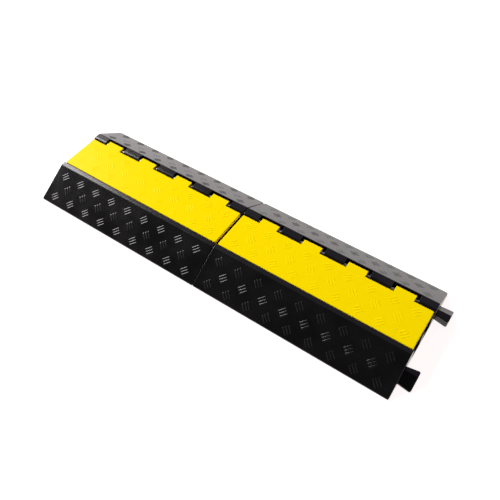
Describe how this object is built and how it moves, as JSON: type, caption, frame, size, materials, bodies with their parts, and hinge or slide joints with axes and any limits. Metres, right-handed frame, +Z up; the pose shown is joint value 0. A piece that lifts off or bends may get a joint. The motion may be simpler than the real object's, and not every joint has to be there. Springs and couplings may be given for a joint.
{
  "type": "cable protector ramp",
  "caption": "Low rubber cable ramp of two joined modules with sloping sides, cable channels and hinged yellow lids.",
  "frame": {"origin": "centre of the whole ramp's footprint, joining lugs included, on the floor", "axes": "+X along the ramp towards the end with the lugs, +Y towards the hinge side, +Z up"},
  "size_m": [1.0306, 0.305, 0.0555],
  "materials": {
    "rubber": "moulded black rubber, fine matt grain, worn shiny on the tread bars",
    "lid_yellow": "moulded yellow thermoplastic, fine satin grain",
    "rod_steel": "bright zinc-plated drawn rod",
    "plug_nylon": "moulded black nylon"
  },
  "bodies": {
    "module_a": {"base_a": "rubber", "hinge_rod_a": "rod_steel", "rod_plug_a": "plug_nylon"},
    "lid_a": {"lid_a": "lid_yellow"},
    "module_b": {"base_b": "rubber", "hinge_rod_b": "rod_steel", "rod_plug_b": "plug_nylon"},
    "lid_b": {"lid_b": "lid_yellow"}
  },
  "joints": [
    {"name": "lid_a_hinge", "type": "hinge", "parent": "module_a", "child": "lid_a", "pos_m": [-0.2653, 0.0635, 0.048], "axis": [-1, 0, 0], "range_deg": [0, 100]},
    {"name": "module_b_lift", "type": "slide", "parent": "module_a", "child": "module_b", "axis": [0, 0, 1], "range_m": [0, 0.06]},
    {"name": "lid_b_hinge", "type": "hinge", "parent": "module_b", "child": "lid_b", "pos_m": [0.2353, 0.0635, 0.048], "axis": [-1, 0, 0], "range_deg": [0, 100]}
  ]
}
